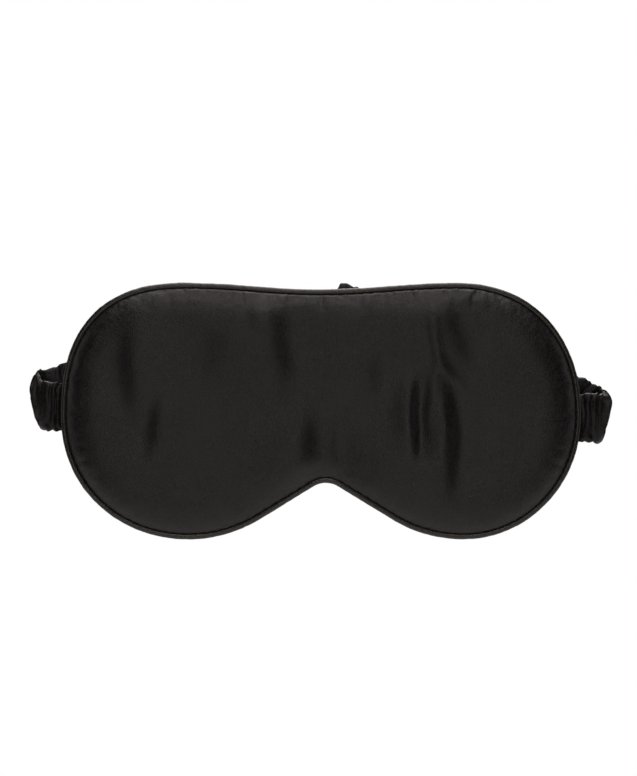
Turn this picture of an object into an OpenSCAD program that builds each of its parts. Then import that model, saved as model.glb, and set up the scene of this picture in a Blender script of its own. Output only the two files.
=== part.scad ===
// Padded silk sleep mask with a piped edge and a ruched elastic strap.
// X runs across the face, +Z is up and the front looks along -Y.
// The origin is the middle of the face side, where the back panel bears on the wearer.

/* [Mask outline] */
// Width of the mask over its piping
mask_w = 212; // [170:1:260]
// Height of the mask over its piping
mask_h = 104.6; // [86:0.2:130]
// Distance from the middle to the top of each lobe
lobe_top_x = 55; // [40:1:70]
// Distance from the notch to the bottom of each lobe
lobe_bottom_x = 56; // [45:1:70]
// Depth of the dip in the top edge
top_dip = 2.7; // [0:0.1:8]
// Height of the widest point above the middle
side_z = -2; // [-8:0.5:8]
// Squareness of the upper left corner, where 2 is an ellipse
upper_left_power = 2.45; // [1.9:0.05:2.8]
// Squareness of the upper right corner
upper_right_power = 2.2; // [1.9:0.05:2.8]
// Squareness of the lower left corner
lower_left_power = 2.05; // [1.9:0.05:2.8]
// Squareness of the lower right corner
lower_right_power = 2; // [1.9:0.05:2.8]

/* [Nose notch] */
// Place of the notch across the mask
notch_x = 2; // [-6:0.5:6]
// Height of the notch above the bottom of the lobes
notch_h = 23; // [16:0.5:28]
// Slope of the notch's straight flanks in degrees
notch_slope = 31.5; // [29:0.5:38]
// Radius at the top of the notch
notch_r = 9.5; // [2:0.5:12]

/* [Padding] */
// Crown of the front above its seam
front_crown = 5; // [2:0.1:9]
// Crown of the face side above its seam
back_crown = 4; // [2:0.1:8]
// Thickness of the front and back panels
panel_t = 0.3; // [0.2:0.05:0.5]
// Thickness of the inner liner
liner_t = 0.2; // [0.1:0.05:0.4]
// Gap that the seam leaves between the liners
seam_gap = 0.4; // [0.3:0.05:0.6]

/* [Piping] */
// Diameter of the piping
piping_d = 2.4; // [2:0.1:4]
// Thickness of the piping's cloth on its outer side
piping_wall = 0.35; // [0.25:0.05:0.6]
// Clearance between the piping's cord and its cloth
cord_gap = 0.05; // [0.02:0.01:0.1]

/* [Strap] */
// Width of the ruched tube
strap_w = 20; // [16:0.5:26]
// Thickness of the ruched tube
strap_t = 3.6; // [3:0.1:5]
// Width of the elastic
elastic_w = 12; // [8:0.5:14]
// Thickness of the elastic
elastic_t = 1; // [0.6:0.1:1.5]
// How far each fold's axis lies outside the side of the mask
fold_gap = 4.4; // [2.8:0.1:10]
// Radius of the fold to the middle of the strap
loop_r = 5.5; // [4.5:0.1:9]
// Height of the strap's left end
end_z_left = 1.8; // [-6:0.1:6]
// Height of the strap's right end
end_z_right = -2.7; // [-6:0.1:6]
// Climb of the rear run where it leaves the left fold, in degrees
climb_left = 28; // [10:1:34]
// Climb of the rear run where it leaves the right fold, in degrees
climb_right = 26; // [10:1:34]
// Height of the rear run at its peak
peak_z = 40; // [25:1:55]
// Place of the peak across the mask
peak_x = 10; // [-20:1:20]
// Length of the rear run's middle piece
back_l = 40; // [24:1:60]

/* [Stitches] */
// Thickness of the sewing thread
thread_t = 0.4; // [0.3:0.05:0.6]
// Number of stitches in each strap tack
tack_count = 5; // [3:1:7]
// Number of stitches that close the turning gap
closing_count = 7; // [3:1:9]

/* [Hidden] */

// Steps along each stretch of the half outline
dip_steps = 6;
corner_steps = 11;
lobe_steps = 5;
flank_steps = 3;
apex_steps = 3;
// Rings from the middle of a panel to its seam
ring_count = 6;
// Facets round the piping, with one of them flat against the panels
piping_facets = 12;
// Steps along each stretch of the strap
end_steps = 2;
turn_steps = 12;
run_steps = 14;
back_steps = 6;

// Power and root that set how square-shouldered a crowned face is
crown_power = 3;
crown_root = 0.6;
// How strongly the rings of a panel crowd towards its seam
ring_crowding = 1.7;
// Least cloth between the piping's cord and the flat against the panels
flat_wall = 0.1;
// Share of an outline step that a seam stitch covers, and a closing stitch
seam_stitch_share = 0.7;
closing_stitch_share = 0.3;
// Outline steps from the start of the lower corner to the turning gap
closing_offset = 3;
// Share of the panel's last ring that a closing stitch reaches over
closing_reach = 0.1;

piping_r = piping_d / 2;
seam_half = panel_t + liner_t + seam_gap / 2;
// Distance from the middle of the piping to the flat against the panels
piping_flat = sqrt(piping_r * piping_r - seam_half * seam_half);
bore_r = min(piping_r - piping_wall, piping_flat - flat_wall);
seam_y = -(back_crown + seam_half);

// ---- Outline ----

// Superellipse quarter between the top of a corner (a = 90) and its side (a = 0)
function corner(rx, rz, power, a) = [rx * pow(cos(a), 2 / power), rz * pow(sin(a), 2 / power)];

// The lobe's arc and the notch's arc share their tangent flank, which sets the lobe's radius
notch_sum = (lobe_bottom_x * sin(notch_slope) - notch_h * cos(notch_slope)) / (1 - cos(notch_slope));
lobe_r = notch_sum - notch_r;
flank_l = (lobe_bottom_x - notch_sum * sin(notch_slope)) / cos(notch_slope);
bottom_z = -mask_h / 2;

// Each function gives points from the middle outwards on one side, as if that side were the right
top_edge = [for (i = [0:dip_steps - 1])
    let (x = lobe_top_x * i / dip_steps)
    [x, mask_h / 2 - top_dip * (1 + cos(180 * x / lobe_top_x)) / 2]];
function upper_corner(side) = [for (i = [0:corner_steps - 1])
    let (power = side < 0 ? upper_left_power : upper_right_power)
    [lobe_top_x, side_z]
        + corner(mask_w / 2 - lobe_top_x, mask_h / 2 - side_z, power, 90 * (1 - i / corner_steps))];
function lower_corner(side) = [for (i = [0:corner_steps - 1])
    let (power = side < 0 ? lower_left_power : lower_right_power, x = lobe_bottom_x + side * notch_x)
    let (p = corner(mask_w / 2 - x, side_z - bottom_z, power, 90 * i / corner_steps))
    [x + p[0], side_z - p[1]]];
lobe_arc = [for (i = [0:lobe_steps - 1])
    let (a = notch_slope * i / lobe_steps)
    [lobe_bottom_x - lobe_r * sin(a), bottom_z + lobe_r * (1 - cos(a))]];
flank = [for (i = [0:flank_steps - 1])
    let (d = flank_l * i / flank_steps)
    [lobe_bottom_x - lobe_r * sin(notch_slope) - d * cos(notch_slope),
     bottom_z + lobe_r * (1 - cos(notch_slope)) + d * sin(notch_slope)]];
apex_arc = [for (i = [0:apex_steps])
    let (a = notch_slope * (1 - i / apex_steps))
    [notch_r * sin(a), bottom_z + notch_h - notch_r * (1 - cos(a))]];
function half_outline(side) = concat(top_edge, upper_corner(side), lower_corner(side),
    [for (p = concat(lobe_arc, flank, apex_arc)) p + [side * notch_x, 0]]);

right_half = half_outline(1);
left_half = half_outline(-1);
half_count = len(right_half);
// Clockwise from the middle of the top edge, seen from the front, so outward is to its left
outline = concat(right_half, [for (i = [half_count - 2:-1:1]) [-left_half[i][0], left_half[i][1]]]);
count = len(outline);

// Outward normal at each point of the outline
function unit(v) = v / norm(v);
function outward(i) =
    let (d = outline[(i + 1) % count] - outline[(i + count - 1) % count])
    unit([-d[1], d[0]]);
function inset(i, d) = outline[i] - outward(i) * d;
panel_inset = piping_r + piping_flat;
panel_outline = [for (i = [0:count - 1]) inset(i, panel_inset)];

// ---- Mesh helpers ----

// Two triangles for each cell of a grid, always cut along the same diagonal
function cells(first, next, n, flip) = [for (i = [0:n - 1], half = [0:1])
    let (j = (i + 1) % n)
    let (t = half == 0 ? [first + i, first + j, next + j] : [first + i, next + j, next + i])
    flip ? [t[2], t[1], t[0]] : t];
function fan(middle, ring, n, flip) = [for (i = [0:n - 1])
    let (j = (i + 1) % n)
    flip ? [middle, ring + j, ring + i] : [middle, ring + i, ring + j]];
function flatten(lists) = [for (l = lists, v = l) v];
function mix(a, b, f) = a + (b - a) * f;

// ---- Padding layers ----

// Rings crowd towards the seam, where the crown falls away
function ring_s(j) = 1 - pow(1 - j / ring_count, ring_crowding);
function crown(s) = pow(max(0, 1 - pow(s, crown_power)), crown_root);
// One crowned face: its middle point and then its rings, "level" from the seam plane at the seam
function crowned_points(level, height) = concat(
    [[0, seam_y + level + height, 0]],
    [for (j = [1:ring_count], p = panel_outline)
        [p[0] * ring_s(j), seam_y + level + height * crown(ring_s(j)), p[1] * ring_s(j)]]);

// A closed layer between two crowned faces, out to the given ring
module layer(front_level, front_height, back_level, back_height, rings = ring_count) {
    back = 1 + rings * count;
    function ring_start(j) = 1 + (j - 1) * count;
    function face_points(level, height) =
        let (p = crowned_points(level, height))
        [for (k = [0:back - 1]) p[k]];
    polyhedron(
        points = concat(face_points(front_level, front_height), face_points(back_level, back_height)),
        faces = concat(
            fan(0, 1, count, false),
            flatten([for (j = [1:rings - 1]) cells(ring_start(j), ring_start(j + 1), count, true)]),
            cells(ring_start(rings), back + ring_start(rings), count, true),
            flatten([for (j = [1:rings - 1])
                cells(back + ring_start(j), back + ring_start(j + 1), count, false)]),
            fan(back, back + 1, count, true)),
        convexity = 6);
}

liner_level = seam_half - panel_t;
fill_level = seam_gap / 2;

module front_panel() {
    color("#2b2726") layer(-seam_half, -front_crown, -liner_level, -front_crown);
}

module front_liner() {
    color("#3a3634") layer(-liner_level, -front_crown, -fill_level, -front_crown);
}

// The wadding stops a ring short of the seam, so the seam's thread has room between the liners
module filling() {
    color("#d8d4cc") layer(-fill_level, -front_crown, fill_level, back_crown, ring_count - 1);
}

module back_liner() {
    color("#3a3634") layer(fill_level, back_crown, liner_level, back_crown);
}

module back_panel() {
    color("#2b2726") layer(liner_level, back_crown, seam_half, back_crown);
}

// ---- Piping ----

// Angle from the inward direction to the first corner of the flat
flat_angle = asin(seam_half / piping_r);
function piping_angle(k) = 180 - flat_angle - (360 - 2 * flat_angle) * k / (piping_facets - 1);
// A point of the piping at outline point i, radius r and facet corner k
function piping_point(i, r, k) =
    let (a = piping_angle(k))
    let (q = inset(i, piping_r) + outward(i) * r * cos(a))
    [q[0], seam_y + r * sin(a), q[1]];
function piping_rings(r) = [for (i = [0:count - 1], k = [0:piping_facets - 1]) piping_point(i, r, k)];
// Closed tube whose rings follow the outline
function loop_faces(first, n, flip) = flatten([for (i = [0:count - 1])
    cells(first + i * n, first + ((i + 1) % count) * n, n, flip)]);

// The cover's cloth wraps the cord and leaves a slit at the seam, where its two edges go in
module piping_cover() {
    n = 2 * piping_facets + 2;
    function slit_point(i, y) =
        let (q = inset(i, panel_inset))
        [q[0], seam_y + y, q[1]];
    color("#2b2726") polyhedron(
        points = flatten([for (i = [0:count - 1]) concat(
            [for (k = [0:piping_facets - 1]) piping_point(i, piping_r, k)],
            [slit_point(i, -fill_level)],
            [for (k = [piping_facets - 1:-1:0]) piping_point(i, bore_r, k)],
            [slit_point(i, fill_level)])]),
        faces = loop_faces(0, n, false),
        convexity = 8);
}

module piping_cord() {
    color("#e6e2da") polyhedron(
        points = piping_rings(bore_r - cord_gap),
        faces = loop_faces(0, piping_facets, false),
        convexity = 8);
}

// ---- Strap ----

near_y = seam_y + piping_r + strap_t / 2;
far_y = near_y + 2 * loop_r;
end_x = mask_w / 2 - panel_inset;
fold_x = mask_w / 2 + fold_gap;

function end_z(side) = side < 0 ? end_z_left : end_z_right;
function climb(side) = side < 0 ? climb_left : climb_right;

// A flat strap that folds back over a tilted axis leaves it at twice the axis's tilt
function tilt(side) = climb(side) / 2;
// Place of a point of the strap: "along" from the fold's axis, "across" upwards, "out" from its middle
function folded(side, along, across, out) =
    let (t = tilt(side), a = along * sin(t) + across * cos(t), b = along * cos(t) - across * sin(t))
    let (turn = min(max(b / (PI * loop_r), 0), 1) * 180, past = max(b - PI * loop_r, 0))
    let (reach = min(b, 0) + (loop_r + out) * sin(turn) - past)
    [side * (fold_x + a * sin(t) + reach * cos(t)),
     near_y + loop_r - (loop_r + out) * cos(turn),
     end_z(side) + a * cos(t) - reach * sin(t)];

// The strap is flat from its end to split_along, where its fold begins, and again from exit_along on
split_along = -strap_w / 2 * tan(max(tilt(-1), tilt(1)));
function exit_along(side) = (PI * loop_r + strap_w / 2 * sin(tilt(side))) / cos(tilt(side));
function exit_point(side) = folded(side, exit_along(side), 0, 0);

// The rear run climbs from the fold to the peak on a cubic that is level at the peak
function run_span(side) = peak_x - exit_point(side)[0];
function run_share(side, x) = (x - exit_point(side)[0]) / run_span(side);
function run_start_slope(side) = tan(climb(side)) * abs(run_span(side));
function run_z(side, x) =
    let (u = run_share(side, x), z = exit_point(side)[2])
    z + (peak_z - z) * u * u * (3 - 2 * u) + run_start_slope(side) * u * (1 - u) * (1 - u);
function run_angle(side, x) =
    let (u = run_share(side, x), z = exit_point(side)[2])
    atan(((peak_z - z) * 6 * u * (1 - u) + run_start_slope(side) * (1 - u) * (1 - 3 * u)) / run_span(side));
function on_run(side, x, across, out) =
    let (a = run_angle(side, x))
    [x - across * sin(a), far_y + out, run_z(side, x) + across * cos(a)];

function flat_section(w, t, c) = [
    [w / 2, -t / 2 + c], [w / 2, t / 2 - c], [w / 2 - c, t / 2], [-w / 2 + c, t / 2],
    [-w / 2, t / 2 - c], [-w / 2, -t / 2 + c], [-w / 2 + c, -t / 2], [w / 2 - c, -t / 2]];
tube_section = flat_section(strap_w, strap_t, strap_t / 3);
elastic_section = flat_section(elastic_w, elastic_t, elastic_t / 4);

// The rings of each piece, with one point for each corner of the section
function end_rings(side, section) = [for (i = [0:end_steps])
    let (along = mix(end_x - fold_x, split_along, i / end_steps))
    [for (p = section) folded(side, along, p[0], p[1])]];
function side_rings(side, section) = concat(
    [for (i = [0:turn_steps])
        let (along = mix(split_along, exit_along(side), i / turn_steps))
        [for (p = section) folded(side, along, p[0], p[1])]],
    [for (i = [1:run_steps])
        let (x = mix(exit_point(side)[0], peak_x + side * back_l / 2, i / run_steps))
        [for (p = section) on_run(side, x, p[0], p[1])]]);
function back_rings(section) = [for (i = [0:back_steps])
    let (x = peak_x + back_l * (i / back_steps - 0.5), side = x < peak_x ? -1 : 1)
    [for (p = section) on_run(side, x, p[0], p[1])]];

// The faces along a strip of rings, without its ends
function strip_faces(first, rows, n, flip) =
    flatten([for (r = [0:rows - 2]) cells(first + r * n, first + (r + 1) * n, n, flip)]);

// The gathered tube is hollow where the elastic runs through it
module tube_piece(outer_rings, inner_rings, flip) {
    n = len(tube_section);
    rows = len(outer_rings);
    inner = rows * n;
    color("#1f1c1d") polyhedron(
        points = concat(flatten(outer_rings), flatten(inner_rings)),
        faces = concat(
            strip_faces(0, rows, n, flip),
            strip_faces(inner, rows, n, !flip),
            cells(0, inner, n, !flip),
            cells((rows - 1) * n, inner + (rows - 1) * n, n, flip)),
        convexity = 6);
}

module elastic_piece(rings, flip) {
    n = len(elastic_section);
    rows = len(rings);
    first_end = [for (k = [0:n - 1]) flip ? k : n - 1 - k];
    last_end = [for (k = [0:n - 1]) (rows - 1) * n + (flip ? n - 1 - k : k)];
    color("#4a4644") polyhedron(
        points = flatten(rings),
        faces = concat(strip_faces(0, rows, n, flip), [first_end], [last_end]),
        convexity = 6);
}

module strap_end(side) {
    tube_piece(end_rings(side, tube_section), end_rings(side, elastic_section), side < 0);
}

module strap_side(side) {
    tube_piece(side_rings(side, tube_section), side_rings(side, elastic_section), side < 0);
}

module strap_end_left() { strap_end(-1); }
module strap_end_right() { strap_end(1); }
module strap_side_left() { strap_side(-1); }
module strap_side_right() { strap_side(1); }
module strap_back() { tube_piece(back_rings(tube_section), back_rings(elastic_section), true); }
module elastic_end_left() { elastic_piece(end_rings(-1, elastic_section), true); }
module elastic_end_right() { elastic_piece(end_rings(1, elastic_section), false); }
module elastic_side_left() { elastic_piece(side_rings(-1, elastic_section), true); }
module elastic_side_right() { elastic_piece(side_rings(1, elastic_section), false); }
module elastic_back() { elastic_piece(back_rings(elastic_section), true); }

// ---- Stitches ----

// Six faces of a short bar whose first four points are one end
box_faces = [[3, 2, 1, 0], [4, 5, 6, 7], [0, 1, 5, 4], [1, 2, 6, 5], [2, 3, 7, 6], [3, 0, 4, 7]];

// Seam thread between the liners, against the piping: one stitch for each step of the outline
module perimeter_stitching() {
    function corners(i) =
        let (a = panel_outline[i % count], b = inset(i % count, panel_inset + thread_t))
        [[a[0], seam_y - fill_level, a[1]], [a[0], seam_y + fill_level, a[1]],
         [b[0], seam_y + fill_level, b[1]], [b[0], seam_y - fill_level, b[1]]];
    margin = (1 - seam_stitch_share) / 2;
    color("#151314")
    for (i = [0:count - 1])
        polyhedron(
            points = concat(
                [for (k = [0:3]) mix(corners(i)[k], corners(i + 1)[k], margin)],
                [for (k = [0:3]) mix(corners(i)[k], corners(i + 1)[k], 1 - margin)]),
            faces = box_faces);
}

// Slip stitches in the ditch between the back panel and the piping, along the lower right corner
module closing_stitching() {
    first = dip_steps + corner_steps + closing_offset;
    margin = (1 - closing_stitch_share) / 2;
    back_face = crowned_points(seam_half, back_crown);
    function ditch(i) = [
        piping_point(i, piping_r, 0),
        piping_point(i, piping_r, 1),
        mix(back_face[1 + (ring_count - 1) * count + i], back_face[1 + (ring_count - 2) * count + i],
            closing_reach)];
    color("#151314")
    for (i = [first:first + closing_count - 1])
        polyhedron(
            points = concat(
                [for (k = [0:2]) mix(ditch(i)[k], ditch(i + 1)[k], margin)],
                [for (k = [0:2]) mix(ditch(i)[k], ditch(i + 1)[k], 1 - margin)]),
            faces = [[0, 1, 2], [5, 4, 3], [1, 0, 3, 4], [2, 1, 4, 5], [0, 2, 5, 3]]);
}

// Bars of thread across the strap's inner end
module strap_tack(side) {
    bar_l = 2 * thread_t;
    low_y = seam_y + seam_half + thread_t;
    pitch = elastic_w / (tack_count + 1);
    color("#151314")
    for (k = [1:tack_count])
        translate([side * (end_x - bar_l / 2), (low_y + near_y) / 2, end_z(side) - elastic_w / 2 + k * pitch])
            cube([bar_l, near_y - low_y, thread_t], center = true);
}

module strap_tack_left() { strap_tack(-1); }
module strap_tack_right() { strap_tack(1); }

front_panel();
front_liner();
filling();
back_liner();
back_panel();
piping_cover();
piping_cord();
perimeter_stitching();
closing_stitching();
strap_tack_left();
strap_tack_right();
strap_end_left();
strap_end_right();
elastic_end_left();
elastic_end_right();
strap_side_left();
strap_side_right();
elastic_side_left();
elastic_side_right();
strap_back();
elastic_back();
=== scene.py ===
"""Looks of a padded silk sleep mask: crowned satin panels, bias piping and a ruched strap."""
import math

import bmesh
import bpy
import numpy as np
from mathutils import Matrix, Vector
from mathutils.geometry import delaunay_2d_cdt
from mathutils.kdtree import KDTree


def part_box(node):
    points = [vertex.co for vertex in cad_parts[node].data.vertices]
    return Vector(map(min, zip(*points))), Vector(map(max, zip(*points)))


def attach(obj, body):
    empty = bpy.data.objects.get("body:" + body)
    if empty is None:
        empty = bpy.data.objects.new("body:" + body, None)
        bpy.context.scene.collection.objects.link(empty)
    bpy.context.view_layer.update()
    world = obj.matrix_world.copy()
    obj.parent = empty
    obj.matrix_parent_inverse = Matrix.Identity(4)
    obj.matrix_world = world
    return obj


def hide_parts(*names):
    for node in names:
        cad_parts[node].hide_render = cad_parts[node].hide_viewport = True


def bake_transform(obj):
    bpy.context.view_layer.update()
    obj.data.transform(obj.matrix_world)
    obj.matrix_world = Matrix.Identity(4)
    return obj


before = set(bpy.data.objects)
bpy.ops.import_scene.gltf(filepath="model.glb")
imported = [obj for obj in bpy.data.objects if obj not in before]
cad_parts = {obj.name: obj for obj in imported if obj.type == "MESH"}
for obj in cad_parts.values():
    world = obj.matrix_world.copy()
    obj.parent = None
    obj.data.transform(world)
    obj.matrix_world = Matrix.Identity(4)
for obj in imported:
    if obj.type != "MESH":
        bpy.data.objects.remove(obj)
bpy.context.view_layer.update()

MM = 0.001

# ---------------------------------------------------------------- sizes from the frame

pipe_low, pipe_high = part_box("piping_cover")
MASK_W = pipe_high.x - pipe_low.x
MASK_H = pipe_high.z - pipe_low.z
PIPE_R = (pipe_high.y - pipe_low.y) / 2
SEAM_Y = (pipe_high.y + pipe_low.y) / 2
FRONT_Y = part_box("front_panel")[0].y
BACK_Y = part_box("back_panel")[1].y

# The outline's own sizes, as the part has them
LOBE_TOP_X = 55 * MM
LOBE_BOTTOM_X = 56 * MM
TOP_DIP = 2.7 * MM
SIDE_Z = -2 * MM
UPPER_POWER = {-1: 2.45, 1: 2.2}
LOWER_POWER = {-1: 2.05, 1: 2.0}
NOTCH_X = 2 * MM
NOTCH_H = 23 * MM
NOTCH_SLOPE = math.radians(31.5)
NOTCH_R = 9.5 * MM

# The seam's own sizes: half its thickness, the panel's cloth and the gap for the wadding
SEAM_HALF = 0.7 * MM
PANEL_T = 0.3 * MM
FILL_LEVEL = 0.2 * MM
PIPE_FLAT = math.sqrt(PIPE_R ** 2 - SEAM_HALF ** 2)
PANEL_INSET = PIPE_R + PIPE_FLAT
PIPE_WALL = 0.35 * MM

# The strap's own sizes, as the part has them
STRAP_W = 20 * MM
STRAP_T = 3.6 * MM
ELASTIC_W = 12 * MM
ELASTIC_T = 1 * MM
FOLD_X = MASK_W / 2 + 4.4 * MM
LOOP_R = 5.5 * MM
END_Z = {-1: 1.8 * MM, 1: -2.7 * MM}
CLIMB = {-1: math.radians(28), 1: math.radians(26)}
SPLIT_ALONG = -STRAP_W / 2 * math.tan(max(CLIMB.values()) / 2)
PEAK_X = 10 * MM
PEAK_Z = 40 * MM
BACK_L = 40 * MM
END_X = MASK_W / 2 - PANEL_INSET
NEAR_Y = SEAM_Y + PIPE_R + STRAP_T / 2
FAR_Y = NEAR_Y + 2 * LOOP_R
THREAD_R = 0.17 * MM

SIDE_NAME = {-1: "left", 1: "right"}


# ---------------------------------------------------------------- helpers

KNOTS_1D = 4096
KNOTS_2D = 256
SHARP_ANGLE = math.radians(75)


def smooth(t):
    """Smoothstep of t, from 0 to 1."""
    t = np.clip(t, 0, 1)
    return t * t * (3 - 2 * t)


def noise_1d(x, seed):
    """Smooth noise from -1 to 1 along a line, one knot for each whole number."""
    knots = np.random.default_rng(seed).uniform(-1, 1, KNOTS_1D)
    cell = np.floor(x).astype(int)
    f = smooth(x - cell)
    return knots[cell % KNOTS_1D] * (1 - f) + knots[(cell + 1) % KNOTS_1D] * f


def noise_2d(x, y, seed):
    """Smooth noise from -1 to 1 over a plane, one knot for each whole number."""
    knots = np.random.default_rng(seed).uniform(-1, 1, (KNOTS_2D, KNOTS_2D))
    cx, cy = np.floor(x).astype(int), np.floor(y).astype(int)
    fx, fy = smooth(x - cx), smooth(y - cy)
    x0, x1, y0, y1 = cx % KNOTS_2D, (cx + 1) % KNOTS_2D, cy % KNOTS_2D, (cy + 1) % KNOTS_2D
    low = knots[x0, y0] * (1 - fx) + knots[x1, y0] * fx
    high = knots[x0, y1] * (1 - fx) + knots[x1, y1] * fx
    return low * (1 - fy) + high * fy


def make_mesh(name, points, faces, finish, slot):
    """A smooth-shaded closed object from points in metres and faces, with sharp edges kept sharp."""
    mesh = bpy.data.meshes.new(name)
    mesh.from_pydata([tuple(p) for p in points], [], [tuple(int(i) for i in f) for f in faces])
    turned = bmesh.new()
    turned.from_mesh(mesh)
    bmesh.ops.recalc_face_normals(turned, faces=turned.faces)
    turned.to_mesh(mesh)
    turned.free()
    mesh.materials.append(finish)
    mesh.shade_smooth()
    mesh.set_sharp_from_angle(angle=SHARP_ANGLE)
    obj = bpy.data.objects.new(name, mesh)
    bpy.context.scene.collection.objects.link(obj)
    return obj


def grid_faces(rows, columns, wrap_rows=False, first=0):
    """Quads of a grid of points, row by row. Each row closes on itself."""
    def at(r, c):
        return first + r % rows * columns + c % columns

    return [(at(r, c), at(r, c + 1), at(r + 1, c + 1), at(r + 1, c))
            for r in range(rows if wrap_rows else rows - 1) for c in range(columns)]


def tube(line, radius, sides, ripple=0.0):
    """Points and faces of a thread along a line of points, with closed round ends."""
    line = np.array(line)
    ahead = np.gradient(line, axis=0)
    ahead /= np.linalg.norm(ahead, axis=1)[:, None]
    no_thread_runs_this_way = [0.36, 0.48, 0.8]
    up = np.cross(ahead, no_thread_runs_this_way)
    up /= np.linalg.norm(up, axis=1)[:, None]
    beside = np.cross(ahead, up)
    share = np.linspace(0, 1, len(line))
    swell = np.sqrt(np.clip(1 - np.abs(2 * share - 1) ** 8, 0.02, 1))
    points = []
    for k in range(sides):
        a = 2 * math.pi * k / sides
        r = radius * swell * (1 + ripple * np.sin(3 * a + share * 40))
        points.append(line + up * (r * math.cos(a))[:, None] + beside * (r * math.sin(a))[:, None])
    points = np.stack(points, axis=1).reshape(-1, 3)
    last = (len(line) - 1) * sides
    ends = [tuple(range(sides))[::-1], tuple(range(last, last + sides))]
    return points, grid_faces(len(line), sides) + ends


def join(parts):
    """One list of points and faces from several."""
    points, faces, first = [], [], 0
    for p, f in parts:
        points.append(p)
        faces += [tuple(i + first for i in face) for face in f]
        first += len(p)
    return np.vstack(points), faces


# ---------------------------------------------------------------- outline

ARC_POINTS = 60
CORNER_POINTS = 200


def corner(rx, rz, power, steps):
    """A superellipse quarter, from the top of a corner to its side."""
    a = np.linspace(math.pi / 2, 0, steps)
    return np.c_[rx * np.abs(np.cos(a)) ** (2 / power), rz * np.sin(a) ** (2 / power)]


def half_outline(side):
    """One side of the outline from the middle of the top to the notch, as if it were the right."""
    bottom = -MASK_H / 2
    tangent_gap = LOBE_BOTTOM_X * math.sin(NOTCH_SLOPE) - NOTCH_H * math.cos(NOTCH_SLOPE)
    lobe_r = tangent_gap / (1 - math.cos(NOTCH_SLOPE)) - NOTCH_R
    low_x = LOBE_BOTTOM_X + side * NOTCH_X
    x = np.linspace(0, LOBE_TOP_X, ARC_POINTS)
    top = np.c_[x, MASK_H / 2 - TOP_DIP * (1 + np.cos(math.pi * x / LOBE_TOP_X)) / 2]
    upper = corner(MASK_W / 2 - LOBE_TOP_X, MASK_H / 2 - SIDE_Z, UPPER_POWER[side],
                   CORNER_POINTS)
    lower = corner(MASK_W / 2 - low_x, SIDE_Z - bottom, LOWER_POWER[side], CORNER_POINTS)[::-1]
    a = np.linspace(0, NOTCH_SLOPE, ARC_POINTS)
    lobe = np.c_[LOBE_BOTTOM_X - lobe_r * np.sin(a), bottom + lobe_r * (1 - np.cos(a))]
    apex = np.c_[NOTCH_R * np.sin(a[::-1]), bottom + NOTCH_H - NOTCH_R * (1 - np.cos(a[::-1]))]
    return np.vstack([top, upper + [LOBE_TOP_X, SIDE_Z], lower * [1, -1] + [low_x, SIDE_Z],
                      np.vstack([lobe, apex]) + [side * NOTCH_X, 0]])


def mask_outline(spacing):
    """Points at even spacing round the mask, clockwise from the middle of the top edge."""
    line = np.vstack([half_outline(1), half_outline(-1)[::-1] * [-1, 1]])
    step = np.linalg.norm(np.diff(line, axis=0), axis=1)
    line = line[np.r_[True, step > 1e-7]]
    along = np.r_[0, np.cumsum(np.linalg.norm(np.diff(line, axis=0), axis=1))]
    at = np.linspace(0, along[-1], int(round(along[-1] / spacing)), endpoint=False)
    return np.c_[np.interp(at, along, line[:, 0]), np.interp(at, along, line[:, 1])]


def outward(line):
    """Outward normals of a closed clockwise line."""
    d = np.roll(line, -1, axis=0) - np.roll(line, 1, axis=0)
    d /= np.linalg.norm(d, axis=1)[:, None]
    return np.c_[-d[:, 1], d[:, 0]]


FINE_STEP = 0.5 * MM
FINE = mask_outline(FINE_STEP)
FINE_OUT = outward(FINE)
PANEL_LINE = FINE - FINE_OUT * PANEL_INSET


def seam_reading(points, line):
    """Distance of each point to a closed line, and how far along the line that is."""
    tree = KDTree(len(line))
    for i, p in enumerate(line):
        tree.insert((p[0], p[1], 0), i)
    tree.balance()
    found = [tree.find((p[0], p[1], 0)) for p in points]
    index = np.array([f[1] for f in found])
    ahead = np.roll(line, -1, axis=0) - np.roll(line, 1, axis=0)
    ahead /= np.linalg.norm(ahead, axis=1)[:, None]
    along = index * FINE_STEP + np.sum((points - line[index]) * ahead[index], axis=1)
    return np.array([f[2] for f in found]), along


# ---------------------------------------------------------------- panels

def panel_points(spacing, rows, inset):
    """Flat panel triangles: rows that follow the seam, and a staggered grid inside them.
    Gives the points, the triangles and which points lie on the seam."""
    at_seam, row_growth, in_field, clear_of_rows = 0.6, 1.09, 1.25, 0.7
    kept = []
    depth, gap = 0.0, at_seam * spacing
    for row in range(rows):
        edge = mask_outline(at_seam * spacing + 0.5 * spacing * row / rows)
        kept.append(edge - outward(edge) * (inset + depth))
        depth += gap
        gap *= row_growth
    seam_count = len(kept[0])
    step_x, step_z = spacing * in_field, spacing * in_field * math.sqrt(3) / 2
    inner = kept[-1]
    across = np.arange(-MASK_W / 2, MASK_W / 2, step_x)
    field = np.vstack([np.c_[across + (r % 2) * step_x / 2, np.full(len(across), z)]
                       for r, z in enumerate(np.arange(-MASK_H / 2, MASK_H / 2, step_z))])
    bearing = np.arctan2(inner[:, 1], inner[:, 0])
    order = np.argsort(bearing)
    reach = np.interp(np.arctan2(field[:, 1], field[:, 0]), bearing[order],
                      np.linalg.norm(inner, axis=1)[order], period=2 * math.pi)
    field = field[np.linalg.norm(field, axis=1) < reach]
    away, _ = seam_reading(field, inner)
    kept.append(field[away > spacing * clear_of_rows])
    points = np.vstack(kept)
    edges = [(i, (i + 1) % seam_count) for i in range(seam_count)]
    inside_the_edges = 1
    made = delaunay_2d_cdt([Vector(p) for p in points / MM], edges, [], inside_the_edges, 1e-5)
    out = np.array([[v.x, v.y] for v in made[0]]) * MM
    source = [o[0] if o else -1 for o in made[3]]
    return out, [tuple(f) for f in made[2]], np.array([0 <= i < seam_count for i in source])


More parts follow.
